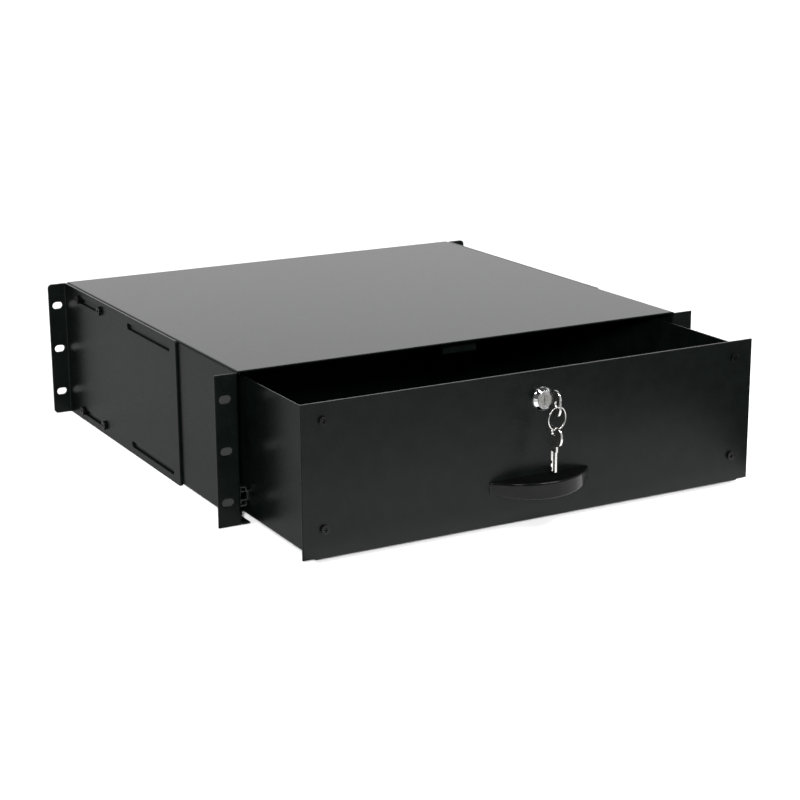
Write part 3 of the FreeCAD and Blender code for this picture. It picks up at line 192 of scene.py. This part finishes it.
def dress(name):
    """Give a CAD node its material and, where it needs them, bevelled or moulded edges."""
    node = NODES[name]
    node.data.materials.clear()
    node.data.materials.append(MATERIALS[SLOTS[name]])
    if name in BEVELS or name in MOULDED:
        node.modifiers.new("joined", "WELD").merge_threshold = SAME_POINT
    if name in BEVELS:
        faces = node.modifiers.new("faces", "DECIMATE")
        faces.decimate_type = "DISSOLVE"
        faces.angle_limit = SAME_FACE
        edge = node.modifiers.new("edge", "BEVEL")
        edge.width = BEVELS[name]
        edge.segments = 3
        edge.limit_method = "ANGLE"
        edge.angle_limit = SHARP_EDGE
        edge.harden_normals = True
    if name in MOULDED:
        skin = node.modifiers.new("skin", "REMESH")
        skin.mode = "VOXEL"
        skin.voxel_size = PULL_VOXEL
        skin.use_smooth_shade = True
        soft = node.modifiers.new("soft", "SMOOTH")
        soft.factor = 0.5
        soft.iterations = PULL_ROUNDS


for name in NODES:
    dress(name)


def floor():
    """A wide pale floor under the brackets' lower edges."""
    level = CAD_BOX[0][2] - FLOOR_DROP
    corners = [(side * FLOOR_REACH, back * FLOOR_REACH, level)
               for side, back in ((-1, -1), (1, -1), (1, 1), (-1, 1))]
    mesh = bpy.data.meshes.new("floor")
    mesh.from_pydata(corners, [], [(0, 1, 2, 3)])
    ground = bpy.data.objects.new("floor", mesh)
    bpy.context.scene.collection.objects.link(ground)
    material, tree, surface = shader("floor", Roughness=0.9, Specular_IOR_Level=0.1)
    tree.links.new(tint(tree, noise(tree, 3), (0.90, 0.90, 0.90), (0.92, 0.92, 0.92)),
                   surface.inputs["Base Color"])
    mesh.materials.append(material)


def light(name, place, target, size, power):
    """A softbox of the given width and height that shines from place to target."""
    data = bpy.data.lights.new(name, "AREA")
    data.shape = "RECTANGLE"
    data.size, data.size_y = size
    data.energy = power
    lamp = bpy.data.objects.new(name, data)
    lamp.location = place
    lamp.rotation_euler = (Vector(target) - Vector(place)).to_track_quat("-Z", "Y").to_euler()
    bpy.context.scene.collection.objects.link(lamp)


def surroundings():
    """A studio with a dim ceiling, a dim left side and a bright wall behind on the right."""
    world = bpy.data.worlds.new("studio")
    world.use_nodes = True
    tree = world.node_tree
    place = tree.nodes.new("ShaderNodeTexCoord")
    parts = tree.nodes.new("ShaderNodeSeparateXYZ")
    tree.links.new(place.outputs["Generated"], parts.inputs["Vector"])
    amount = remap(tree, parts.outputs["Z"], 0.45, 0.80, 1.0, 0.12, "SMOOTHSTEP")
    for part, start, end, low, high in (("Y", -0.30, 0.75, 0.55, 1.40),
                                        ("X", -0.20, 0.30, 0.20, 1.0)):
        both = tree.nodes.new("ShaderNodeMath")
        both.operation = "MULTIPLY"
        tree.links.new(amount, both.inputs[0])
        share = remap(tree, parts.outputs[part], start, end, low, high, "SMOOTHSTEP")
        tree.links.new(share, both.inputs[1])
        amount = both.outputs["Value"]
    tree.links.new(amount, tree.nodes["Background"].inputs["Strength"])
    tree.nodes["Background"].inputs["Color"].default_value = (1, 1, 1, 1)
    bpy.context.scene.world = world


def painted_reflection_sheet(name, corners, grey):
    """A grey sheet on the floor, hidden from the camera, that shows only as a reflection: its grey
    is a painted reflection that darkens what the part reflects.
    """
    level = CAD_BOX[0][2] - SHEET_DROP
    mesh = bpy.data.meshes.new(name)
    mesh.from_pydata([(across, back, level) for across, back in corners], [],
                     [tuple(range(len(corners)))])
    sheet = bpy.data.objects.new(name, mesh)
    bpy.context.scene.collection.objects.link(sheet)
    material, tree, surface = shader(name, Roughness=1.0, Specular_IOR_Level=0.0)
    dark, pale = ((share * grey,) * 3 for share in (0.96, 1.04))
    tree.links.new(tint(tree, noise(tree, 20), dark, pale), surface.inputs["Base Color"])
    mesh.materials.append(material)
    sheet.visible_camera = sheet.visible_diffuse = sheet.visible_shadow = False


def studio():
    """Daylight from behind the camera, three softboxes, and grey sheets beside the part that paint
    darker reflections into its gloss.
    """
    surroundings()
    sun = bpy.data.lights.new("daylight", "SUN")
    sun.energy = 7.6
    sun.angle = 0.15
    lamp = bpy.data.objects.new("daylight", sun)
    lamp.rotation_euler = Vector((0.445, 0.812, -0.375)).to_track_quat("-Z", "Y").to_euler()
    lamp.visible_glossy = False
    bpy.context.scene.collection.objects.link(lamp)
    light("left softbox", (-0.95, -0.10, 0.95), (0, -0.1, 0), (0.3, 0.3), 5.6)
    light("front softbox", (-0.20, -0.52, 0.96), (0, -0.1, 0), (0.2, 0.2), 3.5)
    light("right softbox", (0.52, -0.57, 0.95), (0.52, -0.1, 0), (0.5, 0.25), 7.8)
    left, seam, front, near, beside = -1.4, 0.22, -1.6, -0.33, -0.215
    corner, edge, right = (0.33, near), (0.25, -0.15), 1.2
    # The sheets' greys below are painted reflections: dark surroundings seen only in the part's
    # gloss, not lit by any lamp's shade.
    painted_reflection_sheet("left sheet", [(left, near), (beside, near), (beside, -0.16), (-0.2, -0.1), (-0.2, 1.4),
                        (left, 1.4)], 0.34)
    painted_reflection_sheet("near sheet", [(beside, near), corner, edge, (beside, -0.15)], 0.72)
    painted_reflection_sheet("front sheet", [(left, front), (seam, front), (seam, near), (left, near)], 0.38)
    painted_reflection_sheet("far sheet", [(seam, front), (right, front), (right, near), (seam, near)], 0.04)
    painted_reflection_sheet("right sheet", [(0.23, 0.3), (0.23, -0.03), edge, corner, (right, near), (right, 0.3)],
         0.02)


def camera():
    """The camera at the photograph's viewing angle."""
    data = bpy.data.cameras.new("camera")
    data.sensor_width = 36.0
    data.lens = 84.97
    data.clip_start = 0.05
    data.clip_end = 100.0
    eye = bpy.data.objects.new("camera", data)
    eye.location = (-0.8236, -1.3779, 0.4500)
    eye.rotation_euler = Euler((1.30448, 0.00618, -0.50318), "XYZ")
    bpy.context.scene.collection.objects.link(eye)
    bpy.context.scene.camera = eye
    bpy.context.scene.view_settings.view_transform = "Standard"


floor()
studio()
camera()
